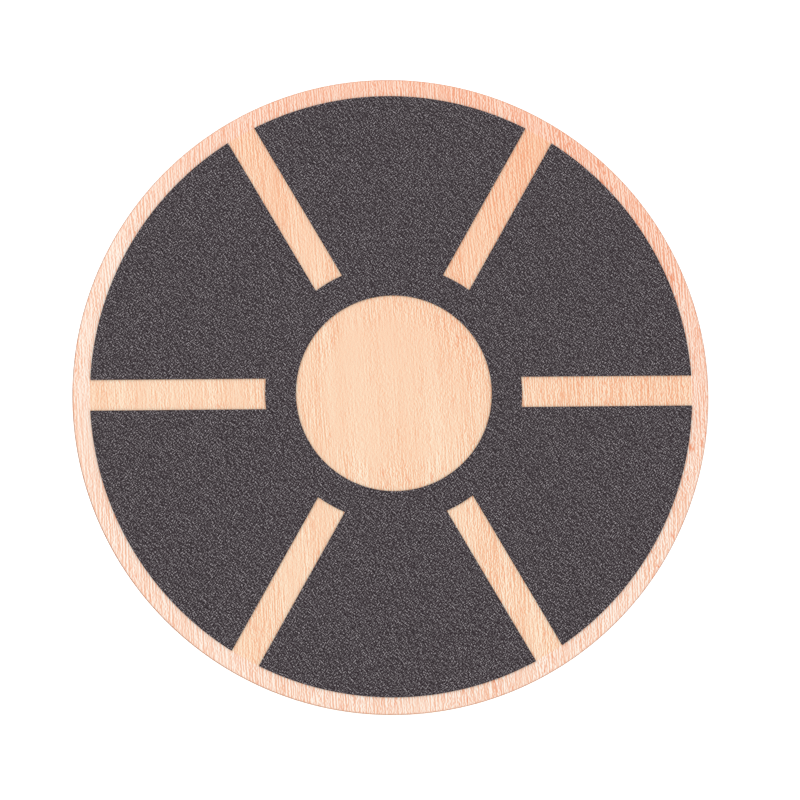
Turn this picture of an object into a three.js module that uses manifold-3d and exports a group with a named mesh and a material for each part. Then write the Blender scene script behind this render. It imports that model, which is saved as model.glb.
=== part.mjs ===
// A round wobble balance board, standing on its fulcrum. The deck is plywood, laid up here from
// its veneers. Its top carries a clear film and a black grip layer cut out to show the wood in a
// middle window and six spokes. A ribbed plastic dome with a rubber foot pad is held under the
// deck by eight wood screws.
// Millimetres, +Z up. The origin is the middle of the foot pad's flat, where the board stands.
// +Y runs along the grain of the face veneers.

import * as THREE from 'three';
import { mergeVertices } from 'three/addons/utils/BufferGeometryUtils.js';
import Module from 'manifold-3d';

// ---- Driving dimensions ----

// Deck
const deckRadius = 200;
const deckUnderside = 60;
const faceVeneer = 0.75;
const coreVeneer = 1.5;
const corePlies = 9;
const deckEdgeRound = 2;

// Film and grip layer on the deck
const coverRadius = 189;
const filmThickness = 0.5;
const gripThickness = 0.5;
const windowRadius = 61.5;
const gripRingRadius = 80.7;
const spokes = 6;
const spokeWidth = 19.1;

// Fulcrum: the pad rolls on a sphere with a flat ground on it, and the dome continues the sphere
const rockRadius = 80;
const standRadius = 16;
const padThickness = 4;
const padRadius = 38;
const padProud = 1;
const domeWall = 4;
const pocketWall = 3.2;
const flangeRadius = 98;
const flangeThickness = 7;
const ribThickness = 3;
const ribs = 8;

// Screws
const screws = 8;
const screwCircleRadius = 88;
const shankRadius = 2.1;
const shankLength = 13;
const tipLength = 3;
const headRadius = 4;
const headHeight = 3.1;
const seatHeight = 56.25;

// Fits
const fitGap = 0.3;
const ribDrop = 0.5;

// ---- Worked out from those ----

const plyRadialSteps = 64;
const domeRadialSteps = 48;
const padRadialSteps = 32;
const smallRadialSteps = 12;

const rockCentre = Math.sqrt(rockRadius ** 2 - standRadius ** 2);
const domeRadius = rockRadius - padProud;
const pocketRadius = rockRadius - padThickness - fitGap;
const pocketEdge = padRadius + fitGap;
const cavityRadius = domeRadius - domeWall;
const cavityFloorRadius = pocketRadius - pocketWall;
const deckTop = deckUnderside + 2 * faceVeneer + corePlies * coreVeneer;
const filmTop = deckTop + filmThickness;
const ribTop = deckUnderside - ribDrop;
const fullTurn = 2 * Math.PI;

const wasm = await Module();
wasm.setup();

// ---- Solids ----

// Lays a lathe's or a tube's own axis, +Y, along +Z.
const axisUp = new THREE.Matrix4().set(1, 0, 0, 0, 0, 0, -1, 0, 0, 1, 0, 0, 0, 0, 0, 1);

// The bare closed mesh of a geometry, as a solid that can be joined and cut.
function solid(geometry) {
  const bare = geometry.clone();
  bare.deleteAttribute('normal');
  bare.deleteAttribute('uv');
  const merged = mergeVertices(bare, 1e-4);
  const vertProperties = merged.attributes.position.array;
  const triVerts = new Uint32Array(merged.index.array);
  return new wasm.Manifold(new wasm.Mesh({ numProp: 3, vertProperties, triVerts }));
}

// A solid back as a geometry that three.js draws.
function geometryOf(cut) {
  const { vertProperties, triVerts } = cut.getMesh();
  const geometry = new THREE.BufferGeometry();
  geometry.setAttribute('position', new THREE.BufferAttribute(vertProperties, 3));
  geometry.setIndex(new THREE.BufferAttribute(triVerts, 1));
  geometry.computeVertexNormals();
  return geometry;
}

// Twice the area an outline of [radius, height] points closes, positive when it runs anticlockwise.
function turning(outline) {
  return outline.reduce((sum, [r, z], i) => {
    const [nextR, nextZ] = outline[(i + 1) % outline.length];
    return sum + r * nextZ - nextR * z;
  }, 0);
}

// Turns a closed outline of [radius, height] points about Z.
function revolve(outline, radialSteps) {
  const ordered = turning(outline) < 0 ? [...outline].reverse() : [...outline];
  const points = ordered.map(([r, z]) => new THREE.Vector2(r, z));
  points.push(points[0].clone());
  return new THREE.LatheGeometry(points, radialSteps).applyMatrix4(axisUp);
}

// [radius, height] points on an arc about (centreR, centreZ), between two angles in radians.
function arc(centreR, centreZ, radius, from, to, steps) {
  return Array.from({ length: steps + 1 }, (_, i) => {
    const angle = from + ((to - from) * i) / steps;
    return [centreR + radius * Math.cos(angle), centreZ + radius * Math.sin(angle)];
  });
}

// Height of a sphere about the rocking centre, below it, at a distance from the axis.
const sphereHeight = (radius, r) => rockCentre - Math.sqrt(radius ** 2 - r ** 2);

// The same sphere's outline between two distances from the axis.
function sphereArc(radius, fromR, toR, steps) {
  const angleAt = (r) => Math.asin(r / radius) - Math.PI / 2;
  return arc(0, rockCentre, radius, angleAt(fromR), angleAt(toR), steps);
}

// An upright round bar, or a tube when it has an inner radius.
function bar(radius, bottom, top, radialSteps, innerRadius = 0) {
  return solid(revolve([[innerRadius, bottom], [radius, bottom], [radius, top], [innerRadius, top]],
    radialSteps));
}

// Copies of a solid, turned evenly about Z from a first angle, joined in one.
function around(piece, count, firstAngle) {
  const degrees = (i) => firstAngle + (360 * i) / count;
  return Array.from({ length: count }, (_, i) => piece.rotate([0, 0, degrees(i)]))
    .reduce((joined, next) => joined.add(next));
}

const screwFirstAngle = 180 / screws;

// Clearance holes for the screws between two heights.
function screwHoles(radius, bottom, top) {
  const hole = bar(radius, bottom, top, smallRadialSteps).translate([screwCircleRadius, 0, 0]);
  return around(hole, screws, screwFirstAngle);
}

// ---- Materials ----

const plain = (color, roughness) => new THREE.MeshStandardMaterial({ color, roughness });
const faceWood = () => plain(0xfbd3b7, 0.55);
const coreWood = () => plain(0xdcb48c, 0.7);
const crossWood = () => plain(0xc99d74, 0.75);
const clearFilm = () => new THREE.MeshPhysicalMaterial({
  color: 0xfff0d8, roughness: 0.2, transmission: 0.9, transparent: true, opacity: 0.2,
});
const grip = () => plain(0x544e50, 0.9);
const blackPlastic = () => plain(0x1d1d1f, 0.5);
const rubber = () => plain(0x2a2a2b, 0.85);
const zincSteel = () => new THREE.MeshStandardMaterial({
  color: 0xb9bcc0, roughness: 0.35, metalness: 1,
});

const board = new THREE.Group();

function addPiece(name, geometry, material) {
  const mesh = new THREE.Mesh(geometry, material);
  mesh.name = name;
  board.add(mesh);
  return mesh;
}

// ---- Deck ----

// The deck's radius at a height, which falls away where its top and bottom edges are eased.
function deckRadiusAt(z) {
  const fromFace = Math.min(z - deckUnderside, deckTop - z);
  const intoRound = Math.max(deckEdgeRound - fromFace, 0);
  return deckRadius - deckEdgeRound + Math.sqrt(deckEdgeRound ** 2 - intoRound ** 2);
}

// One veneer: a disc with the deck's edge between its two heights, drilled if a screw reaches it.
function veneer(bottom, top) {
  const edgeSteps = 2;
  const rounded = deckRadiusAt(bottom) < deckRadius || deckRadiusAt(top) < deckRadius;
  const heights = Array.from({ length: edgeSteps + 1 }, (_, i) => bottom + ((top - bottom) * i) / edgeSteps);
  const edge = (rounded ? heights : [bottom, top]).map((z) => [deckRadiusAt(z), z]);
  const disc = revolve([[0, bottom], ...edge, [0, top]], plyRadialSteps);
  const reached = bottom < seatHeight + shankLength;
  const holes = () => screwHoles(shankRadius + fitGap, bottom - 1, top + 1);
  return reached ? geometryOf(solid(disc).subtract(holes())) : disc;
}

function addDeck() {
  const coreBottom = deckUnderside + faceVeneer;
  const coreTop = deckTop - faceVeneer;
  addPiece('face_veneer_bottom', veneer(deckUnderside, coreBottom), faceWood());
  for (let ply = 1; ply <= corePlies; ply += 1) {
    const bottom = coreBottom + (ply - 1) * coreVeneer;
    const material = ply % 2 ? crossWood() : coreWood();
    addPiece(`core_ply_${ply}`, veneer(bottom, bottom + coreVeneer), material);
  }
  addPiece('face_veneer_top', veneer(coreTop, deckTop), faceWood());
}

// ---- Film and grip layer ----

function addFilm() {
  const outline = [[0, deckTop], [coverRadius, deckTop], [coverRadius, filmTop], [0, filmTop]];
  addPiece('clear_film', revolve(outline, plyRadialSteps), clearFilm());
}

// The grip layer: six sectors joined by a ring round the middle window. The spokes between the
// sectors are open at the rim, and end on the ring in an arc about the centre.
function gripShape() {
  const shape = new THREE.Shape();
  const rimHalf = Math.asin(spokeWidth / 2 / coverRadius);
  const ringHalf = Math.asin(spokeWidth / 2 / gripRingRadius);
  const pitch = fullTurn / spokes;
  for (let spoke = 0; spoke < spokes; spoke += 1) {
    const here = spoke * pitch;
    const next = here + pitch;
    shape.absarc(0, 0, gripRingRadius, here - ringHalf, here + ringHalf, false);
    shape.absarc(0, 0, coverRadius, here + rimHalf, next - rimHalf, false);
  }
  shape.closePath();
  const window = new THREE.Path();
  for (let part = 0; part < spokes; part += 1) {
    window.absarc(0, 0, windowRadius, -part * pitch, -(part + 1) * pitch, true);
  }
  shape.holes.push(window);
  return shape;
}

function addGrip() {
  const options = { depth: gripThickness, bevelEnabled: false, curveSegments: 6 };
  const layer = new THREE.ExtrudeGeometry(gripShape(), options);
  addPiece('grip_layer', layer, grip()).position.z = filmTop;
}

// ---- Fulcrum dome ----

// The outside of the dome: the pad's pocket, the sphere, a fillet under the flange, the flange.
function domeOutline() {
  const flangeBottom = deckUnderside - flangeThickness;
  const fillet = 6;
  const flangeRound = 2;
  const filletZ = flangeBottom - fillet;
  const filletR = Math.sqrt((domeRadius + fillet) ** 2 - (rockCentre - filletZ) ** 2);
  const touchAngle = Math.atan2(rockCentre - filletZ, -filletR);
  const touchR = filletR + fillet * Math.cos(touchAngle);
  return [
    ...sphereArc(pocketRadius, 0, pocketEdge, 5),
    ...sphereArc(domeRadius, pocketEdge, touchR, 7),
    ...arc(filletR, filletZ, fillet, touchAngle, Math.PI / 2, 3).slice(1),
    ...arc(flangeRadius - flangeRound, flangeBottom + flangeRound, flangeRound, -Math.PI / 2, 0, 2),
    [flangeRadius, deckUnderside],
    [0, deckUnderside],
  ];
}

// The hollow inside the dome, with its walls moved out by grow, up to a height.
function cavityOutline(grow, top) {
  const stepInnerR = 42;
  const stepOuterR = 46;
  const wall = cavityRadius + grow;
  const topR = Math.sqrt(wall ** 2 - (rockCentre - top) ** 2);
  return [
    ...sphereArc(cavityFloorRadius + grow, 0, stepInnerR, 5),
    ...sphereArc(wall, stepOuterR, topR, 4),
    [0, top],
  ];
}

// Studs of the foot pad, and the bosses and holes that take them.
const studs = 4;
const studFirstAngle = 180 / ribs;
const studCircleRadius = 22;
const studRadius = 3;
const studHeadRadius = 4.6;
const bossRadius = 6.5;
const bossTop = 11.5;

const onStudCircle = (piece) => around(piece.translate([studCircleRadius, 0, 0]), studs, studFirstAngle);

// A flat plate standing on the XZ plane's outline, turned about Z as one rib of each ring of ribs.
function ribPlates(outline, count) {
  const shape = new THREE.Shape(outline.map(([r, z]) => new THREE.Vector2(r, z)));
  const plate = new THREE.ExtrudeGeometry(shape, { depth: ribThickness, bevelEnabled: false });
  plate.translate(0, 0, -ribThickness / 2).applyMatrix4(axisUp);
  return around(solid(plate), count, 0);
}

// Ribs inside the dome: radial plates, a hub, a ring and the bosses round the pad's stud holes.
function innerRibs() {
  const hubRadius = 14;
  const ringInnerR = 43.5;
  const plateInnerR = hubRadius - ribThickness / 2;
  const reach = flangeRadius;
  const plates = ribPlates([[plateInnerR, 0], [reach, 0], [reach, ribTop], [plateInnerR, ribTop]], ribs);
  const hub = bar(hubRadius, 0, ribTop, 24, hubRadius - ribThickness);
  const ring = bar(ringInnerR + ribThickness, 0, ribTop, domeRadialSteps, ringInnerR);
  const bosses = onStudCircle(bar(bossRadius, 0, bossTop, smallRadialSteps));
  const intoWall = 1;
  const room = solid(revolve(cavityOutline(intoWall, ribTop), domeRadialSteps));
  return plates.add(hub).add(ring).add(bosses).intersect(room);
}

// Gussets under the flange, one at each radial rib.
function gussets() {
  const flangeBottom = deckUnderside - flangeThickness;
  const outerR = 93;
  const toeHeight = 34;
  const rootR = 55;
  return ribPlates([
    [rootR, toeHeight], [66, toeHeight], [outerR, flangeBottom - 1.5],
    [outerR, flangeBottom + 1], [rootR, flangeBottom + 1],
  ], ribs);
}

function addDome() {
  const headBore = headRadius + 1.25;
  const above = deckUnderside + 1;
  const shell = solid(revolve(domeOutline(), domeRadialSteps))
    .add(gussets())
    .subtract(solid(revolve(cavityOutline(0, above), domeRadialSteps)));
  const dome = shell
    .add(innerRibs())
    .subtract(screwHoles(headBore, 0, seatHeight))
    .subtract(screwHoles(shankRadius + fitGap, seatHeight - 1, above))
    .subtract(onStudCircle(bar(studRadius + fitGap, 0, bossTop + 1, smallRadialSteps)));
  addPiece('fulcrum_dome', geometryOf(dome), blackPlastic());
}

// ---- Foot pad ----

// The pad's underside: the flat it stands on, then the sphere it rolls on, with round grooves.
function treadOutline() {
  const grooveRadii = [10, 22, 29];
  const grooveHalf = 1;
  const grooveDepth = 1.2;
  const heightAt = (r) => (r <= standRadius ? 0 : sphereHeight(rockRadius, r));
  const groove = (r) => [
    [r - grooveHalf, heightAt(r - grooveHalf)], [r - grooveHalf / 2, heightAt(r) + grooveDepth],
    [r + grooveHalf / 2, heightAt(r) + grooveDepth], [r + grooveHalf, heightAt(r + grooveHalf)],
  ];
  const flat = grooveRadii.filter((r) => r < standRadius).flatMap(groove);
  const curved = grooveRadii.filter((r) => r > standRadius).flatMap(groove);
  return [[0, 0], ...flat, [standRadius, 0], ...curved];
}

function addPad() {
  const rimRound = 1.5;
  const backRadius = rockRadius - padThickness;
  const rimZ = sphereHeight(rockRadius, padRadius - rimRound);
  const body = solid(revolve([
    ...treadOutline(), [padRadius - rimRound, rimZ], [padRadius, rimZ + rimRound],
    ...sphereArc(backRadius, 0, padRadius, 6).reverse(),
  ], padRadialSteps));
  const shoulder = bossTop + fitGap;
  const root = sphereHeight(backRadius, studCircleRadius) - 1.2;
  const stud = solid(revolve([
    [0, root], [studRadius, root], [studRadius, shoulder], [studHeadRadius, shoulder],
    [studHeadRadius, shoulder + 0.7], [studRadius / 2, shoulder + 3.4], [0, shoulder + 3.4],
  ], smallRadialSteps));
  addPiece('foot_pad', geometryOf(body.add(onStudCircle(stud))), rubber());
}

// ---- Screws ----

// A pan-head wood screw standing on its head, its seat at z = 0, with a cross recess below.
function screwGeometry() {
  const headEdge = 1;
  const recessDepth = 1.9;
  const recessReach = 2.2;
  const recessWidth = 0.9;
  const slope = Array.from({ length: 4 }, (_, i) => {
    const angle = (Math.PI / 2) * (i / 4);
    return [headRadius * Math.cos(angle), -headEdge - (headHeight - headEdge) * Math.sin(angle)];
  });
  const blank = solid(revolve([
    [0, -headHeight], [0, shankLength], [shankRadius, shankLength - tipLength],
    [shankRadius, 0], [headRadius, 0], ...slope,
  ], smallRadialSteps));
  const slot = new THREE.BoxGeometry(2 * recessReach, recessWidth, 2 * recessDepth);
  const cut = solid(slot).add(solid(slot).rotate([0, 0, 90])).translate([0, 0, -headHeight]);
  return geometryOf(blank.subtract(cut));
}

function addScrews() {
  const geometry = screwGeometry();
  for (let i = 0; i < screws; i += 1) {
    const angle = THREE.MathUtils.degToRad(screwFirstAngle + (360 * i) / screws);
    const x = screwCircleRadius * Math.cos(angle);
    const y = screwCircleRadius * Math.sin(angle);
    const screw = addPiece(`fulcrum_screw_${i + 1}`, geometry, zincSteel());
    screw.position.set(x, y, seatHeight);
    screw.rotation.z = angle;
  }
}

addDeck();
addFilm();
addGrip();
addDome();
addPad();
addScrews();

export default board;
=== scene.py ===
"""A round wobble balance board: the looks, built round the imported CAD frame. Metres, +Z up.

Every CAD node is replaced by a finer piece of the same size in the same place. The materials are
worked out from object coordinates, which are the board's own: Z from the floor, +Y along the grain
of the face veneers.
"""

from math import asin, atan2, cos, pi, radians, sin, sqrt

import bmesh
import bpy
from mathutils import Matrix, Vector
from mathutils.geometry import tessellate_polygon


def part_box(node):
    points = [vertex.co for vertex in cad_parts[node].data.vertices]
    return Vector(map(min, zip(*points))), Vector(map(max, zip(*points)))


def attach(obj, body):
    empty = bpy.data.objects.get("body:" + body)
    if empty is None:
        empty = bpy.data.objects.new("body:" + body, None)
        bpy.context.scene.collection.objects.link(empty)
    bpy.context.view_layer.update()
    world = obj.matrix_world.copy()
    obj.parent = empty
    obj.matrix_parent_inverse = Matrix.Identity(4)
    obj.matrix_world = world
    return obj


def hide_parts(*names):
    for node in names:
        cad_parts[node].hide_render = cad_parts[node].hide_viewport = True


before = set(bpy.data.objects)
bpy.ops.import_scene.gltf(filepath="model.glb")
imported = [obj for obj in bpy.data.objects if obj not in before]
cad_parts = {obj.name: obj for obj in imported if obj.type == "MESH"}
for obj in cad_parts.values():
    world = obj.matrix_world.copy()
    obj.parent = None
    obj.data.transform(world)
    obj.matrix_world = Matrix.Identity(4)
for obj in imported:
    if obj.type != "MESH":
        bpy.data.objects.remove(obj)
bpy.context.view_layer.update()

MM = 0.001

# ---- Sizes, from the frame where it states them ----

CORE_PLIES = 9
SCREWS = 8
SPOKES = 6

DECK_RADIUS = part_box("core_ply_5")[1].x
DECK_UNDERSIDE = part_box("face_veneer_bottom")[0].z
DECK_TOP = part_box("face_veneer_top")[1].z
CORE_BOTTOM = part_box("core_ply_1")[0].z
CORE_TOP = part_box("core_ply_9")[1].z
PLY = (CORE_TOP - CORE_BOTTOM) / CORE_PLIES
EDGE_ROUND = 2 * MM

COVER_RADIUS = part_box("clear_film")[1].x
FILM_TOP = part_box("clear_film")[1].z
GRIP_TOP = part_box("grip_layer")[1].z
WINDOW_RADIUS = 61.5 * MM
GRIP_RING_RADIUS = 80.7 * MM
SPOKE_WIDTH = 19.1 * MM

ROCK_RADIUS = 80 * MM
STAND_RADIUS = 16 * MM
ROCK_CENTRE = sqrt(ROCK_RADIUS**2 - STAND_RADIUS**2)
PAD_THICKNESS = 4 * MM
PAD_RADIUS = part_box("foot_pad")[1].x
DOME_RADIUS = ROCK_RADIUS - 1 * MM
DOME_WALL = 4 * MM
FIT_GAP = 0.3 * MM
POCKET_RADIUS = ROCK_RADIUS - PAD_THICKNESS - FIT_GAP
POCKET_EDGE = PAD_RADIUS + FIT_GAP
FLANGE_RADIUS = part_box("fulcrum_dome")[1].x
FLANGE_THICKNESS = 7 * MM
RIB_THICKNESS = 3 * MM
RIBS = 8
RIB_TOP = DECK_UNDERSIDE - 0.5 * MM

SCREW_CIRCLE = 88 * MM
SCREW_FIRST_ANGLE = pi / SCREWS
SEAT_HEIGHT = 56.25 * MM
SHANK_RADIUS = 2.1 * MM
SHANK_LENGTH = 13 * MM
SCREW_HOLE_RADIUS = SHANK_RADIUS + FIT_GAP
THREAD_PITCH = 1.4 * MM
HEAD_RADIUS = 4 * MM
HEAD_HEIGHT = 3.1 * MM

STUDS = 4
STUD_FIRST_ANGLE = pi / RIBS
STUD_CIRCLE = 22 * MM
STUD_RADIUS = 3 * MM
BOSS_TOP = 11.5 * MM

RIM_STEPS = 360
DOME_STEPS = 192
SMALL_STEPS = 32
TURN = 2 * pi
CUT_PAST = 1 * MM  # how far a cutter, or a piece that is joined, goes into or past the other


# ---- Mesh building ----

def circle(bm, radius, z, steps, x=0.0, y=0.0):
    """A loop of vertices on a level circle."""
    angles = [TURN * i / steps for i in range(steps)]
    return [bm.verts.new((x + radius * cos(a), y + radius * sin(a), z)) for a in angles]


def strip(bm, low, high, smooth=True):
    """Faces between two loops of the same length. A loop that is one repeated vertex makes a fan."""
    for i in range(len(low)):
        j = (i + 1) % len(low)
        corners = list(dict.fromkeys([low[i], low[j], high[j], high[i]]))
        if len(corners) > 2:
            bm.faces.new(corners).smooth = smooth


def cap(bm, loops):
    """Flat faces over the first loop, with the other loops as its holes."""
    vertices = [v for loop in loops for v in loop]
    for corners in tessellate_polygon([[v.co for v in loop] for loop in loops]):
        bm.faces.new([vertices[i] for i in corners])


def finished(bm, name):
    """The mesh as an object in the scene, with its faces pointing out."""
    bmesh.ops.recalc_face_normals(bm, faces=bm.faces)
    mesh = bpy.data.meshes.new(name)
    bm.to_mesh(mesh)
    bm.free()
    made = bpy.data.objects.new(name, mesh)
    bpy.context.scene.collection.objects.link(made)
    return made


def revolved(name, outline, steps=DOME_STEPS, smooth=True):
    """A closed outline of (radius, height) points turned about Z."""
    bm = bmesh.new()
    on_axis = 1e-9
    loops = [
        [bm.verts.new((0, 0, z))] * steps if r < on_axis else circle(bm, r, z, steps)
        for r, z in outline
    ]
    for low, high in zip(loops, loops[1:] + loops[:1]):
        strip(bm, low, high, smooth)
    return finished(bm, name)


def arc(centre_across, centre_up, radius, start, end, steps):
    """Points on an arc between two angles, in any plane."""
    angles = [start + (end - start) * i / steps for i in range(steps + 1)]
    return [(centre_across + radius * cos(a), centre_up + radius * sin(a)) for a in angles]


def sphere_height(radius, r):
    """Height of a sphere about the rocking centre, below it, at a distance from the axis."""
    return ROCK_CENTRE - sqrt(radius**2 - r**2)


def sphere_arc(radius, start_r, end_r, steps):
    """The same sphere's outline between two distances from the axis."""
    start, end = (asin(r / radius) - pi / 2 for r in (start_r, end_r))
    return arc(0, ROCK_CENTRE, radius, start, end, steps)


def plate(name, outline, thickness):
    """An upright flat plate of (radius, height) points, centred on the XZ plane."""
    bm = bmesh.new()
    near, far = ([bm.verts.new((r, y, z)) for r, z in outline] for y in (-thickness / 2, thickness / 2))
    strip(bm, near, far, smooth=False)
    bm.faces.new(near)
    bm.faces.new(far)
    return finished(bm, name)


def combine(target, tools, operation):
    """Joins the tools to the target or cuts them from it, and removes them."""
    for tool in tools:
        cut = target.modifiers.new("cut", "BOOLEAN")
        cut.object = tool
        cut.operation = operation
        cut.solver = "MANIFOLD"
    apply_modifiers(target)
    for tool in tools:
        bpy.data.objects.remove(tool)
    return target


def apply_modifiers(target):
    """Makes what the modifiers show the object's own mesh."""
    shown = target.evaluated_get(bpy.context.evaluated_depsgraph_get())
    mesh = bpy.data.meshes.new_from_object(shown)
    target.modifiers.clear()
    target.data = mesh


def around(make, count, first_angle):
    """Pieces that are all made alike, and turned evenly about Z."""
    made = []
    for i in range(count):
        tool = make()
        tool.data.transform(Matrix.Rotation(first_angle + TURN * i / count, 4, "Z"))
        made.append(tool)
    return made


def rod(radius, bottom, top, distance, steps=SMALL_STEPS):
    """An upright round rod, to join or to cut with, at a distance along X."""
    outline = [(0, bottom), (radius, bottom), (radius, top), (0, top)]
    made = revolved("rod", outline, steps)
    made.data.transform(Matrix.Translation((distance, 0, 0)))
    return made


def without_slivers(target):
    """Joins the corners that cutting leaves doubled, and removes the faces of no area between them."""
    same_corner, no_width = 0.0001 * MM, 0.001 * MM
    bm = bmesh.new()
    bm.from_mesh(target.data)
    bmesh.ops.remove_doubles(bm, verts=bm.verts, dist=same_corner)
    bmesh.ops.dissolve_degenerate(bm, edges=bm.edges, dist=no_width)
    bm.to_mesh(target.data)
    bm.free()
    return target


def crisp(target):
    """Smooth shading with sharp edges, and flats that stay flat up to their edges."""
    sharp_from = radians(32)
    target.data.shade_smooth()
    target.data.set_sharp_from_angle(angle=sharp_from)
    weighted = target.modifiers.new("flats", "WEIGHTED_NORMAL")
    weighted.keep_sharp = True
    return target


def place(target, node, material):
    """Puts a piece on the board in place of a CAD node, with its material."""
    target.data.materials.clear()
    target.data.materials.append(material)
    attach(target, "root")
    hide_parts(node)


# ---- Material building ----

GRAIN_LEAN = radians(-3)


class Nodes:
    """A material's node tree, built by short calls that return output sockets."""

    def __init__(self, name):
        self.material = bpy.data.materials.new(name)
        self.material.use_nodes = True
        self.tree = self.material.node_tree
        self.shader = self.tree.nodes["Principled BSDF"]
        self.coords = self.add("ShaderNodeTexCoord").outputs["Object"]

    def add(self, kind, inputs=None, **settings):
        made = self.tree.nodes.new(kind)
        for key, value in settings.items():
            setattr(made, key, value)
        for key, value in (inputs or {}).items():
            self.feed(made.inputs[key], value)
        return made

    def feed(self, socket, value):
        if isinstance(value, bpy.types.NodeSocket):
            self.tree.links.new(value, socket)
        else:
            socket.default_value = value

    def shade(self, **inputs):
        """Feeds the shader's inputs, named with _ for each space, and gives the material."""
        for key, value in inputs.items():
            self.feed(self.shader.inputs[key.replace("_", " ")], value)
        return self.material

    def swayed(self, scale, reach):
        """Object coordinates pushed to and fro along X by a slow noise."""
        push = self.remap(self.noise(self.coords, scale, detail=0), 0, 1, -reach, reach)
        sideways = self.add("ShaderNodeCombineXYZ", {"X": push}).outputs["Vector"]
        return self.moved(self.coords, sideways)

    def moved(self, coords, step):
        """Coordinates pushed by a step, so that their pattern moves the other way."""
        return self.add("ShaderNodeVectorMath", {0: coords, 1: step}, operation="ADD").outputs["Vector"]

    def drawn_out(self, coords, length, crosswise=False):
        """Coordinates in which features grow longer along the grain: along Y, or X if crosswise."""
        turned = self.add("ShaderNodeMapping", {"Vector": coords, "Rotation": (0, 0, GRAIN_LEAN)})
        scale = (1 / length, 1, 1) if crosswise else (1, 1 / length, 1)
        inputs = {"Vector": turned.outputs["Vector"], "Scale": scale}
        return self.add("ShaderNodeMapping", inputs).outputs["Vector"]

    def noise(self, coords, scale, detail=2.0, roughness=0.5):
        inputs = {"Vector": coords, "Scale": scale, "Detail": detail, "Roughness": roughness}
        return self.add("ShaderNodeTexNoise", inputs).outputs["Fac"]

    def cells(self, coords, scale, output="Distance"):
        """Random cells: how far each point is from its cell's own, or the cell's own colour."""
        inputs = {"Vector": coords, "Scale": scale}
        return self.add("ShaderNodeTexVoronoi", inputs).outputs[output]

    def remap(self, value, low, high, to_low=0.0, to_high=1.0, smooth=False):
        inputs = {"Value": value, "From Min": low, "From Max": high, "To Min": to_low, "To Max": to_high}
        kind = "SMOOTHSTEP" if smooth else "LINEAR"
        return self.add("ShaderNodeMapRange", inputs, interpolation_type=kind).outputs["Result"]

    def maths(self, operation, a, b=0.0):
        return self.add("ShaderNodeMath", {0: a, 1: b}, operation=operation).outputs["Value"]

    def ramp(self, value, stops):
        """A colour for each value, through (position, colour) stops."""
        made = self.add("ShaderNodeValToRGB", {"Fac": value})
        elements = made.color_ramp.elements
        while len(elements) < len(stops):
            elements.new(1.0)
        for element, (position, colour) in zip(elements, stops):
            element.position = position
            element.color = (*colour, 1)
        return made.outputs["Color"]

    def mix(self, share, a, b, blend="MIX"):
        """A mix of two colours, each a socket or a colour."""
        made = self.tree.nodes.new("ShaderNodeMix")
        made.data_type = "RGBA"
        made.blend_type = blend
        factor, first, second = made.inputs[0], made.inputs[6], made.inputs[7]
        self.feed(factor, share)
        for socket, value in ((first, a), (second, b)):
            self.feed(socket, value if isinstance(value, bpy.types.NodeSocket) else (*value, 1))
        return made.outputs[2]

    def bump(self, height, distance, strength):
        inputs = {"Height": height, "Distance": distance, "Strength": strength}
        return self.add("ShaderNodeBump", inputs).outputs["Normal"]

    def streaks(self, coords, scale, length, width):
        """Fibres along the grain: a drawn-out noise less its neighbour one width to the side.

        Taking away the neighbour leaves narrow streaks without wide patches.
        """
        here = self.drawn_out(coords, length)
        beside = self.moved(here, (width, 0, 0))
        fibre, neighbour = (self.noise(spot, scale, detail=0) for spot in (here, beside))
        return self.maths("SUBTRACT", fibre, neighbour)

    def weighted(self, *parts):
        """The sum of (weight, value) parts."""
        total = 0.0
        for weight, value in parts:
            total = self.maths("ADD", total, self.maths("MULTIPLY", value, weight))
        return total

    def axes(self):
        """X and Y from the board's axis, and Z from the floor."""
        parts = self.add("ShaderNodeSeparateXYZ", {"Vector": self.coords}).outputs
        return parts["X"], parts["Y"], parts["Z"]

    def radius(self):
        """Distance from the board's axis."""
        x, y, _ = self.axes()
        squares = [self.maths("MULTIPLY", along, along) for along in (x, y)]
        return self.maths("SQRT", self.maths("ADD", *squares))


def shown_as(red, green, blue, gloss=0.04):
    """The surface colour that this studio, with the surface's gloss, shows as screen values of 0 to 255."""
    light = 1.184
    screen = [value / 255 for value in (red, green, blue)]
    # The sRGB curve, undone.
    linear = [v / 12.92 if v <= 0.04045 else ((v + 0.055) / 1.055) ** 2.4 for v in screen]
    return tuple(max(v / light - gloss, 0) / (1 - gloss) for v in linear)


# ---- Materials ----

def face_contrast(nodes, swayed):
    """How strongly the fibres show: more towards +X, and in patches along the grain."""
    x, _, _ = nodes.axes()
    across_board = nodes.remap(x, -0.1, 0.2, 0.56, 1.15)
    patches = nodes.noise(nodes.drawn_out(swayed, length=5), 70, detail=1)
    return nodes.maths("MULTIPLY", across_board, nodes.remap(patches, 0.3, 0.7, 0.5, 1.5))


def seen_under_film(nodes, radius, bare):
    """How much of the fibres shows: all where the wood is bare, and least in the middle of the window."""
    quiet_to, lively_from = 43 * MM, 51 * MM
    covered = nodes.remap(radius, quiet_to, lively_from, 0.38, 0.74, smooth=True)
    return nodes.maths("MAXIMUM", bare, covered)


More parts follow.
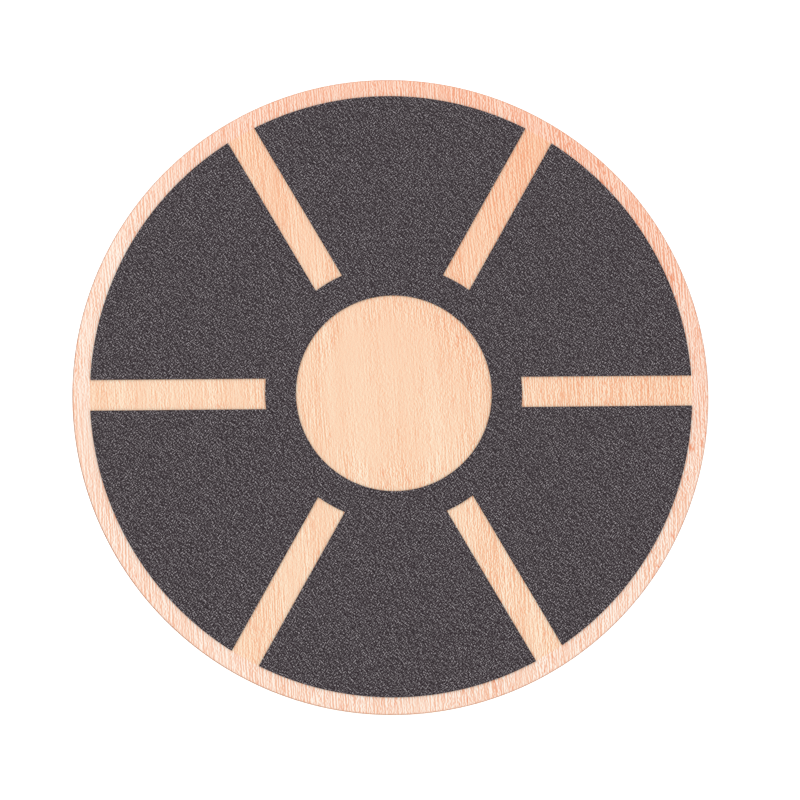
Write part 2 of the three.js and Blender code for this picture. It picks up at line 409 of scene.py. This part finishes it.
def face_colours(nodes, tone, bands):
    """Dark to light by tone, drifting from pale to warm across the board."""
    x, y, _ = nodes.axes()
    toward_warm = nodes.weighted((0.46, x), (0.89, y))
    drift = nodes.remap(nodes.maths("ADD", toward_warm, nodes.remap(bands, 0, 1, -0.03, 0.03)), 0, 0.2)
    pale = nodes.ramp(tone, [
        (0.285, shown_as(245, 190, 160)), (0.415, shown_as(250, 208, 184)),
        (0.585, shown_as(253, 231, 214)), (0.715, shown_as(255, 244, 233)),
    ])
    warm = nodes.ramp(tone, [
        (0.285, shown_as(244, 166, 133)), (0.415, shown_as(249, 186, 158)),
        (0.585, shown_as(252, 207, 183)), (0.715, shown_as(254, 225, 206)),
    ])
    return nodes.mix(drift, pale, warm)


def face_wood(name, covered):
    """Pale peach face veneer: fine fibres, short pores, and a slow drift from pale to warm.

    Under the film the wood is wetted by its glue, so it looks yellower, smoother and a little glossier.
    """
    nodes = Nodes(name)
    swayed = nodes.swayed(scale=7, reach=5 * MM)
    bands = nodes.noise(nodes.drawn_out(swayed, length=14), 90, detail=3)
    long_fibres = nodes.streaks(swayed, scale=1000, length=18, width=0.6 * MM)
    short_fibres = nodes.streaks(swayed, scale=1300, length=2, width=0.5 * MM)
    contrast = face_contrast(nodes, swayed)
    radius = nodes.radius()
    if covered:
        bare = nodes.maths("GREATER_THAN", radius, COVER_RADIUS)
        seen = seen_under_film(nodes, radius, bare)
        long_fibres = nodes.maths("MULTIPLY", long_fibres, seen)
        contrast = nodes.maths("MULTIPLY", contrast, seen)
    fibres = nodes.weighted((1.6, long_fibres), (1.35, short_fibres))
    banded = nodes.maths("ADD", fibres, nodes.remap(bands, 0.3, 0.7, -0.15, 0.15))
    tone = nodes.maths("ADD", 0.5, nodes.maths("MULTIPLY", banded, contrast))
    colour = face_colours(nodes, tone, bands)
    pores = nodes.noise(nodes.drawn_out(swayed, length=7), 1100, detail=1)
    pored = nodes.maths("MULTIPLY", nodes.remap(pores, 0.62, 0.72, 0, 0.75), contrast)
    colour = nodes.mix(pored, colour, shown_as(240, 148, 108))
    # Painted shade: the outermost rim of the deck, where its edge rounds over, is drawn darker and warmer to
    # stand in for that edge's shading.
    painted_rim_shade = nodes.remap(radius, DECK_RADIUS - 1.4 * MM, DECK_RADIUS - 0.4 * MM, 0, 0.5)
    colour = nodes.mix(painted_rim_shade, colour, shown_as(236, 160, 124))
    roughness = nodes.remap(fibres, -0.2, 0.2, 0.5, 0.62)
    if covered:
        wetted = nodes.mix(1.0, colour, (1.02, 0.98, 0.875), blend="MULTIPLY")
        colour = nodes.mix(bare, wetted, colour)
        roughness = nodes.maths("SUBTRACT", roughness, nodes.remap(bare, 0, 1, 0.18, 0))
    height = nodes.maths("SUBTRACT", fibres, pored)
    return nodes.shade(Base_Color=colour, Roughness=roughness, Normal=nodes.bump(height, 0.04 * MM, 0.5))


def core_wood(name, crosswise, pale, dark, end):
    """A core veneer's edge: streaks where the grain runs along the rim, pores where it ends there."""
    pit_shade = 0.45
    nodes = Nodes(name)
    x, y, z = nodes.axes()
    along_grain = nodes.drawn_out(nodes.coords, length=14, crosswise=crosswise)
    fibres = nodes.noise(along_grain, 800, detail=3, roughness=0.6)
    colour = nodes.ramp(fibres, [(0.35, dark), (0.65, pale)])
    ending = nodes.maths("ABSOLUTE", nodes.maths("DIVIDE", x if crosswise else y, nodes.radius()))
    pits = nodes.remap(fibres, 0.52, 0.40)
    end_colour = nodes.mix(nodes.maths("MULTIPLY", pits, 0.6), end, tuple(pit_shade * c for c in end))
    colour = nodes.mix(nodes.remap(ending, 0.15, 0.95, smooth=True), colour, end_colour)
    level = nodes.maths("FRACT", nodes.maths("DIVIDE", nodes.maths("SUBTRACT", z, CORE_BOTTOM), PLY))
    from_middle = nodes.maths("ABSOLUTE", nodes.maths("SUBTRACT", level, 0.5))
    wander = nodes.remap(nodes.noise(nodes.coords, 120), 0.3, 0.7, -0.03, 0.03)
    glue = nodes.remap(nodes.maths("ADD", from_middle, wander), 0.42, 0.48, smooth=True)
    colour = nodes.mix(nodes.maths("MULTIPLY", glue, 0.75), colour, shown_as(112, 70, 42))
    return nodes.shade(Base_Color=colour, Roughness=nodes.remap(fibres, 0.3, 0.7, 0.5, 0.7),
                       Normal=nodes.bump(fibres, 0.08 * MM, 0.6))


def clear_film():
    """Clear satin film that shows the wood under it."""
    nodes = Nodes("clear_film")
    ripple = nodes.noise(nodes.coords, 160, detail=2)
    tint = nodes.mix(nodes.noise(nodes.coords, 30), shown_as(255, 226, 180), shown_as(255, 216, 168))
    return nodes.shade(Base_Color=tint, Roughness=nodes.remap(ripple, 0.3, 0.7, 0.22, 0.32), Alpha=0.03,
                       Normal=nodes.bump(ripple, 0.02 * MM, 0.3))


def grip_grit():
    """Charcoal grip with a fine mineral grit, whose brightest grains sparkle."""
    nodes = Nodes("grip_grit")
    gloss = 0.016
    grains_per_metre, step = 2000, 0.85 * MM
    crevice_depth_and_shade = nodes.cells(nodes.coords, grains_per_metre)
    grains = nodes.weighted(
        (1.2, nodes.cells(nodes.coords, grains_per_metre, "Color")),
        (-0.6, nodes.cells(nodes.moved(nodes.coords, (step, 0, 0)), grains_per_metre, "Color")),
        (-0.6, nodes.cells(nodes.moved(nodes.coords, (0, step, 0)), grains_per_metre, "Color")),
    )
    clusters = nodes.noise(nodes.coords, 900, detail=3, roughness=0.7)
    tone = nodes.maths("ADD", grains, nodes.remap(clusters, 0.3, 0.7, 0.46, 0.52))
    colour = nodes.ramp(tone, [
        (0.10, shown_as(56, 49, 53, gloss)), (0.55, shown_as(79, 72, 76, gloss)),
        (0.80, shown_as(111, 104, 108, gloss)), (1.00, shown_as(183, 176, 180, gloss)),
    ])
    # Painted shade: each grain gets darker towards its edge, in the crevices between the grains. The same
    # values also set the bump's depth.
    colour = nodes.mix(nodes.remap(crevice_depth_and_shade, 0.35, 0.7, 0, 0.5), colour, shown_as(40, 36, 38, gloss))
    height = nodes.maths("SUBTRACT", nodes.maths("MULTIPLY", clusters, 0.5), crevice_depth_and_shade)
    return nodes.shade(Base_Color=colour, Roughness=nodes.remap(tone, 0.4, 0.9, 0.9, 0.5),
                       Specular_IOR_Level=0.2, Normal=nodes.bump(height, 0.15 * MM, 0.4))


def black_abs():
    """Black moulded plastic with a fine spark-eroded texture."""
    nodes = Nodes("black_abs")
    texture = nodes.noise(nodes.coords, 2600, detail=2, roughness=0.6)
    wear = nodes.noise(nodes.coords, 25, detail=4, roughness=0.6)
    colour = nodes.mix(nodes.remap(wear, 0.35, 0.7), (0.014, 0.014, 0.016), (0.026, 0.026, 0.028))
    return nodes.shade(Base_Color=colour, Roughness=nodes.remap(wear, 0.3, 0.7, 0.42, 0.56),
                       Normal=nodes.bump(texture, 0.03 * MM, 0.5))


def pad_rubber():
    """Matt rubber, paler with dust on the flat that it stands on."""
    nodes = Nodes("pad_rubber")
    _, _, z = nodes.axes()
    mottle = nodes.noise(nodes.coords, 260, detail=4, roughness=0.65)
    worn = nodes.remap(nodes.maths("ADD", z, nodes.remap(mottle, 0.3, 0.7, 0, 0.8 * MM)), 1.2 * MM, 0.1 * MM)
    colour = nodes.mix(nodes.maths("MULTIPLY", worn, 0.6), (0.026, 0.026, 0.027), (0.09, 0.085, 0.08))
    return nodes.shade(Base_Color=colour, Roughness=nodes.remap(mottle, 0.3, 0.7, 0.75, 0.9),
                       Normal=nodes.bump(mottle, 0.1 * MM, 0.4))


def zinc_steel():
    """Zinc-plated steel with a slightly uneven bright finish."""
    nodes = Nodes("zinc_steel")
    cloud = nodes.noise(nodes.coords, 500, detail=3)
    colour = nodes.mix(nodes.remap(cloud, 0.3, 0.7), (0.47, 0.48, 0.5), (0.62, 0.62, 0.61))
    return nodes.shade(Base_Color=colour, Metallic=1.0, Roughness=nodes.remap(cloud, 0.3, 0.7, 0.24, 0.4),
                       Normal=nodes.bump(cloud, 0.01 * MM, 0.3))


# ---- Deck ----

def deck_radius_at(z):
    """The deck's radius at a height, less where its edges are eased."""
    from_face = max(min(z - DECK_UNDERSIDE, DECK_TOP - z), 0)
    into_round = max(EDGE_ROUND - from_face, 0)
    return DECK_RADIUS - EDGE_ROUND + sqrt(EDGE_ROUND**2 - into_round**2)


def screw_places():
    """The (x, y) of each screw's axis."""
    angles = [SCREW_FIRST_ANGLE + TURN * i / SCREWS for i in range(SCREWS)]
    return [(SCREW_CIRCLE * cos(a), SCREW_CIRCLE * sin(a)) for a in angles]


def veneer(name):
    """One veneer of the deck, with a hole for each screw that reaches it."""
    low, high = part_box(name)
    bottom, top = low.z, high.z
    edge_steps = 6
    heights = [bottom + (top - bottom) * i / edge_steps for i in range(edge_steps + 1)]
    drilled = bottom < SEAT_HEIGHT + SHANK_LENGTH
    bm = bmesh.new()
    rims = [circle(bm, deck_radius_at(z), z, RIM_STEPS) for z in heights]
    for lower, upper in zip(rims, rims[1:]):
        strip(bm, lower, upper)
    centres = screw_places() if drilled else []
    ends = {z: [circle(bm, SCREW_HOLE_RADIUS, z, SMALL_STEPS, x, y) for x, y in centres]
            for z in (bottom, top)}
    for lower, upper in zip(ends[bottom], ends[top]):
        strip(bm, lower, upper)
    cap(bm, [rims[0], *ends[bottom]])
    cap(bm, [rims[-1], *ends[top]])
    return finished(bm, name + "_sheet")


def make_deck():
    """The two face veneers, and between them the core veneers, whose grain runs across and along in turn."""
    faces = {
        "face_veneer_bottom": face_wood("bare_face_veneer", covered=False),
        "face_veneer_top": face_wood("covered_face_veneer", covered=True),
    }
    long_core = core_wood("long_core_veneer", crosswise=False, pale=shown_as(248, 222, 190),
                          dark=shown_as(236, 200, 162), end=shown_as(230, 190, 150))
    cross_core = core_wood("cross_core_veneer", crosswise=True, pale=shown_as(196, 148, 106),
                           dark=shown_as(172, 122, 84), end=shown_as(154, 106, 72))
    cores = [("long_core_wood", long_core), ("cross_core_wood", cross_core)]
    for name, material in faces.items():
        place(veneer(name), name, material)
    for ply in range(1, CORE_PLIES + 1):
        name = f"core_ply_{ply}"
        slot, material = cores[ply % 2]
        place(veneer(name), name, material)


# ---- Film and grip layer ----

def make_film():
    """The film stops just short of the wood, so that the two faces don't share a plane."""
    lift, edge = 0.02 * MM, 0.15 * MM
    bottom = DECK_TOP + lift
    outline = [(0, bottom), (COVER_RADIUS, bottom), (COVER_RADIUS, FILM_TOP - edge),
               (COVER_RADIUS - edge, FILM_TOP), (0, FILM_TOP)]
    place(revolved("film_sheet", outline, RIM_STEPS, smooth=False), "clear_film", clear_film())


def grip_outline(inset):
    """The (x, y) of the grip layer's outer edge, moved in: six sectors on a ring round the window."""
    half = SPOKE_WIDTH / 2 + inset
    rim, ring = COVER_RADIUS - inset, GRIP_RING_RADIUS - inset
    rim_half, ring_half = asin(half / rim), asin(half / ring)
    pitch = TURN / SPOKES
    points = []
    for spoke in range(SPOKES):
        here = spoke * pitch
        points += arc(0, 0, ring, here - ring_half, here + ring_half, steps=10)
        points += arc(0, 0, rim, here + rim_half, here + pitch - rim_half, steps=54)
    return points


def make_grip():
    """One sheet with a thin bevel round its top, inside and out."""
    edge, window_steps = 0.12 * MM, 240
    bm = bmesh.new()
    levels = [(0, FILM_TOP), (0, GRIP_TOP - edge), (edge, GRIP_TOP)]
    outers = [[bm.verts.new((x, y, z)) for x, y in grip_outline(inset)] for inset, z in levels]
    inners = [circle(bm, WINDOW_RADIUS + inset, z, window_steps) for inset, z in levels]
    for loops in (outers, inners):
        for low, high in zip(loops, loops[1:]):
            strip(bm, low, high, smooth=False)
    cap(bm, [outers[0], inners[0]])
    cap(bm, [outers[-1], inners[-1]])
    place(finished(bm, "grip_sheet"), "grip_layer", grip_grit())


# ---- Fulcrum dome ----

def dome_outline():
    """The outside of the dome: the pad's pocket, the sphere, a fillet, the flange."""
    flange_bottom = DECK_UNDERSIDE - FLANGE_THICKNESS
    fillet, flange_round, lip = 6 * MM, 2 * MM, 0.5 * MM
    fillet_z = flange_bottom - fillet
    fillet_r = sqrt((DOME_RADIUS + fillet)**2 - (ROCK_CENTRE - fillet_z)**2)
    touch = atan2(ROCK_CENTRE - fillet_z, -fillet_r)
    touch_r = fillet_r + fillet * cos(touch)
    return [
        *sphere_arc(POCKET_RADIUS, 0, POCKET_EDGE, steps=16),
        (POCKET_EDGE, sphere_height(DOME_RADIUS, POCKET_EDGE) + lip),
        *sphere_arc(DOME_RADIUS, POCKET_EDGE + lip, touch_r, steps=32),
        *arc(fillet_r, fillet_z, fillet, touch, pi / 2, steps=12)[1:],
        *arc(FLANGE_RADIUS - flange_round, flange_bottom + flange_round, flange_round, -pi / 2, 0, steps=8),
        (FLANGE_RADIUS, DECK_UNDERSIDE - lip),
        (FLANGE_RADIUS - lip, DECK_UNDERSIDE),
        (0, DECK_UNDERSIDE),
    ]


def cavity_outline(grow, top):
    """The hollow inside the dome up to a height, with its walls moved out by grow."""
    step_inner, step_outer, pocket_wall = 42 * MM, 46 * MM, 3.2 * MM
    wall = DOME_RADIUS - DOME_WALL + grow
    top_r = sqrt(wall**2 - (ROCK_CENTRE - top)**2)
    return [
        *sphere_arc(POCKET_RADIUS - pocket_wall + grow, 0, step_inner, steps=16),
        *sphere_arc(wall, step_outer, top_r, steps=16),
        (0, top),
    ]


def inner_ribs():
    """Radial plates, a hub, a ring and stud bosses, all trimmed to the hollow."""
    hub, ring_inner, boss = 14 * MM, 43.5 * MM, 6.5 * MM
    plate_inner = hub - RIB_THICKNESS / 2
    outline = [(plate_inner, 0), (FLANGE_RADIUS, 0), (FLANGE_RADIUS, RIB_TOP), (plate_inner, RIB_TOP)]
    plates = around(lambda: plate("rib", outline, RIB_THICKNESS), RIBS, 0)
    tubes = [revolved("tube", [(r, 0), (r + RIB_THICKNESS, 0), (r + RIB_THICKNESS, RIB_TOP), (r, RIB_TOP)])
             for r in (hub - RIB_THICKNESS, ring_inner)]
    bosses = around(lambda: rod(boss, 0, BOSS_TOP, STUD_CIRCLE), STUDS, STUD_FIRST_ANGLE)
    room = revolved("room", cavity_outline(CUT_PAST, RIB_TOP))
    joined = combine(tubes[0], [*plates, tubes[1], *bosses], "UNION")
    return combine(joined, [room], "INTERSECT")


def gusset():
    """A plate between the dome's outside and its flange, sunk into both."""
    flange_bottom = DECK_UNDERSIDE - FLANGE_THICKNESS
    root, toe_outer, outer = 55 * MM, 66 * MM, 93 * MM
    toe, outer_depth = 34 * MM, 1.5 * MM
    outline = [(root, toe), (toe_outer, toe), (outer, flange_bottom - outer_depth),
               (outer, flange_bottom + CUT_PAST), (root, flange_bottom + CUT_PAST)]
    made = plate("gusset", outline, RIB_THICKNESS)
    rounding = made.modifiers.new("round", "BEVEL")
    rounding.width = 0.6 * MM
    rounding.segments = 3
    apply_modifiers(made)
    return made


def dome_bores(top):
    """Cutters for the screws' heads and shanks, up through the flange, and for the pad's studs."""
    head_room = 1.25 * MM

    def head_hole():
        return rod(HEAD_RADIUS + head_room, 0, SEAT_HEIGHT, SCREW_CIRCLE, steps=48)

    def shank_hole():
        return rod(SCREW_HOLE_RADIUS, SEAT_HEIGHT - CUT_PAST, top, SCREW_CIRCLE)

    def stud_hole():
        return rod(STUD_RADIUS + FIT_GAP, 0, BOSS_TOP + CUT_PAST, STUD_CIRCLE)

    return [
        *around(head_hole, SCREWS, SCREW_FIRST_ANGLE),
        *around(shank_hole, SCREWS, SCREW_FIRST_ANGLE),
        *around(stud_hole, STUDS, STUD_FIRST_ANGLE),
    ]


def make_dome():
    """The moulding: its outside with gussets, less the hollow, with ribs back in the hollow, then bored."""
    above = DECK_UNDERSIDE + CUT_PAST
    dome = revolved("dome_moulding", dome_outline())
    combine(dome, around(gusset, RIBS, 0), "UNION")
    combine(dome, [revolved("cavity", cavity_outline(0, above))], "DIFFERENCE")
    combine(dome, [inner_ribs()], "UNION")
    combine(dome, dome_bores(above), "DIFFERENCE")
    place(crisp(without_slivers(dome)), "fulcrum_dome", black_abs())


# ---- Foot pad ----

def pad_outline():
    """The pad with a plain back, and round grooves in the side that it rolls on."""
    grooves = [g * MM for g in (6, 10, 19.5, 23.5, 27.5, 31.5)]
    half, depth, soft = 0.8 * MM, 1.2 * MM, 0.25 * MM
    rim_round, corner_in, corner_up = 1.5 * MM, 0.4 * MM, 0.7 * MM

    def height(r):
        return 0.0 if r <= STAND_RADIUS else sphere_height(ROCK_RADIUS, r)

    tread = [(0, 0)]
    for g in grooves:
        if g > STAND_RADIUS > tread[-1][0]:
            tread.append((STAND_RADIUS, 0))
        floor = height(g) + depth
        tread += [
            (g - half - soft, height(g - half - soft)), (g - half, height(g - half) + soft),
            (g - half + soft, floor - soft / 2), (g - half + 2 * soft, floor),
            (g + half - 2 * soft, floor), (g + half - soft, floor - soft / 2),
            (g + half, height(g + half) + soft), (g + half + soft, height(g + half + soft)),
        ]
    rim_z = sphere_height(ROCK_RADIUS, PAD_RADIUS - rim_round)
    back = sphere_arc(ROCK_RADIUS - PAD_THICKNESS, 0, PAD_RADIUS, steps=16)
    return [*tread, (PAD_RADIUS - rim_round, rim_z), (PAD_RADIUS - corner_in, rim_z + corner_up),
            (PAD_RADIUS, rim_z + rim_round), *reversed(back)]


def stud():
    """A moulded stud whose head snaps over its boss in the dome."""
    into_pad, head, head_edge, head_height = 1.2 * MM, 4.6 * MM, 0.7 * MM, 3.4 * MM
    root = sphere_height(ROCK_RADIUS - PAD_THICKNESS, STUD_CIRCLE) - into_pad
    shoulder = BOSS_TOP + FIT_GAP
    tip = shoulder + head_height
    outline = [(0, root), (STUD_RADIUS, root), (STUD_RADIUS, shoulder), (head, shoulder),
               (head, shoulder + head_edge), (STUD_RADIUS / 2, tip), (0, tip)]
    made = revolved("stud", outline, SMALL_STEPS)
    made.data.transform(Matrix.Translation((STUD_CIRCLE, 0, 0)))
    return made


def sipe():
    """A narrow radial slot across the outer rings of the tread."""
    width, depth, start, end, steps = 1 * MM, 1 * MM, 17.5 * MM, 34 * MM, 10
    below = [(r, sphere_height(ROCK_RADIUS, r) - CUT_PAST) for r in (end, start)]
    above = [(r, sphere_height(ROCK_RADIUS, r) + depth)
             for r in (start + (end - start) * i / steps for i in range(steps + 1))]
    return plate("sipe", [*below, *above], width)


def make_pad():
    """The moulding with its studs, cut by the sipes."""
    sipes = 24
    pad = revolved("pad_moulding", pad_outline())
    combine(pad, around(stud, STUDS, STUD_FIRST_ANGLE), "UNION")
    combine(pad, around(sipe, sipes, TURN / sipes / 2), "DIFFERENCE")
    place(crisp(without_slivers(pad)), "foot_pad", pad_rubber())


# ---- Screws ----

def head_loops(bm, steps):
    """A pan head, from its crown to its seat at z = 0."""
    edge = 0.9 * MM
    crown = HEAD_HEIGHT - edge
    loops = [[bm.verts.new((0, 0, -HEAD_HEIGHT))] * steps]
    for across, up in arc(0, 0, 1, -pi / 2, 0, steps=8)[1:]:
        loops.append(circle(bm, across * HEAD_RADIUS, up * crown - edge, steps))
    loops.append(circle(bm, HEAD_RADIUS, 0, steps))
    return loops


def thread_radius(angle, z):
    """The thread's crest rises from the root once a pitch, and the whole tapers to the tip."""
    neck, root, crest_share = 0.8 * SHANK_RADIUS, 1.55 * MM, 0.22
    thread_start, tip = 0.8 * MM, 3.2 * MM
    if z < thread_start:
        return neck
    turn = (z / THREAD_PITCH - angle / TURN) % 1
    crest = max(0, 1 - abs(turn - 0.5) / crest_share)
    taper = min(1, (SHANK_LENGTH - z) / tip)
    return taper * (root + (SHANK_RADIUS - root) * crest)


def shank_loops(bm, steps):
    """A threaded shank, from the seat to the point of its tip."""
    rows_per_pitch = 8
    rows = int(SHANK_LENGTH / THREAD_PITCH * rows_per_pitch)
    angles = [TURN * i / steps for i in range(steps)]
    loops = []
    for z in (SHANK_LENGTH * row / rows for row in range(rows)):
        reaches = [(thread_radius(a, z), a) for a in angles]
        loops.append([bm.verts.new((reach * cos(a), reach * sin(a), z)) for reach, a in reaches])
    loops.append([bm.verts.new((0, 0, SHANK_LENGTH))] * steps)
    return loops


def screw_mesh():
    """A pan-head wood screw with a cross recess and a coarse thread, its seat at z = 0."""
    steps = 24
    bm = bmesh.new()
    loops = [*head_loops(bm, steps), *shank_loops(bm, steps)]
    for low, high in zip(loops, loops[1:]):
        strip(bm, low, high)
    return without_slivers(combine(finished(bm, "screw"), recess_wings(), "DIFFERENCE"))


def recess_wings():
    """Two crossed wings, each narrowing towards the recess's floor."""
    reach, floor_reach, width, depth = 2.2 * MM, 0.9 * MM, 0.85 * MM, 1.9 * MM
    top, floor = -HEAD_HEIGHT, depth - HEAD_HEIGHT
    clear = top - CUT_PAST
    outline = [(-reach, clear), (reach, clear), (reach, top), (floor_reach, floor), (-floor_reach, floor),
               (-reach, top)]
    wings = [plate("wing", outline, width) for _ in range(2)]
    wings[1].data.transform(Matrix.Rotation(pi / 2, 4, "Z"))
    return wings


def make_screws():
    """Eight alike, each driven to an angle of its own."""
    steel = zinc_steel()
    pattern = screw_mesh()
    for i, (x, y) in enumerate(screw_places(), 1):
        name = f"fulcrum_screw_{i}"
        screw = bpy.data.objects.new(name + "_threaded", pattern.data.copy())
        bpy.context.scene.collection.objects.link(screw)
        driven = radians(37) * i
        screw.data.transform(Matrix.Translation((x, y, SEAT_HEIGHT)) @ Matrix.Rotation(driven, 4, "Z"))
        place(crisp(screw), name, steel)
    bpy.data.objects.remove(pattern)


# ---- Studio ----

def make_floor():
    """A plain white floor, far wider than the picture."""
    half = 12.0
    bm = bmesh.new()
    bm.faces.new([bm.verts.new((x * half, y * half, 0)) for x, y in ((-1, -1), (1, -1), (1, 1), (-1, 1))])
    floor = finished(bm, "studio_floor")
    nodes = Nodes("studio_white")
    nodes.shade(Base_Color=(0.9, 0.9, 0.9, 1), Roughness=0.9, Emission_Color=(1, 1, 1, 1),
                Emission_Strength=0.35)
    floor.data.materials.append(nodes.material)


def area_light(name, position, size, power):
    """A square soft box that faces the board."""
    data = bpy.data.lights.new(name, "AREA")
    data.size = size
    data.energy = power
    light = bpy.data.objects.new(name, data)
    bpy.context.scene.collection.objects.link(light)
    light.location = position
    aim = Vector((0, 0, DECK_TOP / 2)) - Vector(position)
    light.rotation_euler = aim.to_track_quat("-Z", "Y").to_euler()


def make_lights():
    """Even white light from all round, with two soft boxes above."""
    world = bpy.data.worlds.new("studio")
    bpy.context.scene.world = world
    world.use_nodes = True
    background = world.node_tree.nodes["Background"]
    background.inputs["Color"].default_value = (1, 1, 1, 1)
    background.inputs["Strength"].default_value = 1.0
    area_light("key", (-1.6, 1.2, 2.2), size=1.6, power=18)
    area_light("fill", (1.8, -1.4, 1.8), size=2.0, power=9)


def make_camera():
    """Nearly straight down, from a little towards -X and -Y, and a little off the board's middle."""
    distance, lean, lean_towards, roll = 1.251, radians(6.416), radians(229.74), radians(-0.658)
    aside, back = 3.6 * MM, -4.5 * MM
    data = bpy.data.cameras.new("camera")
    data.sensor_width = 36.0
    data.lens = 89.91
    data.clip_end = 60
    camera = bpy.data.objects.new("camera", data)
    bpy.context.scene.collection.objects.link(camera)
    leaning = (Matrix.Rotation(lean_towards, 4, "Z") @ Matrix.Rotation(lean, 4, "Y")
               @ Matrix.Rotation(-lean_towards, 4, "Z"))
    camera.matrix_world = (Matrix.Translation((0, 0, GRIP_TOP)) @ leaning @ Matrix.Rotation(roll, 4, "Z")
                           @ Matrix.Translation((aside, back, distance)))
    bpy.context.scene.camera = camera


make_camera()
make_deck()
make_film()
make_grip()
make_dome()
make_pad()
make_screws()
make_floor()
make_lights()
bpy.context.scene.view_settings.view_transform = "Standard"
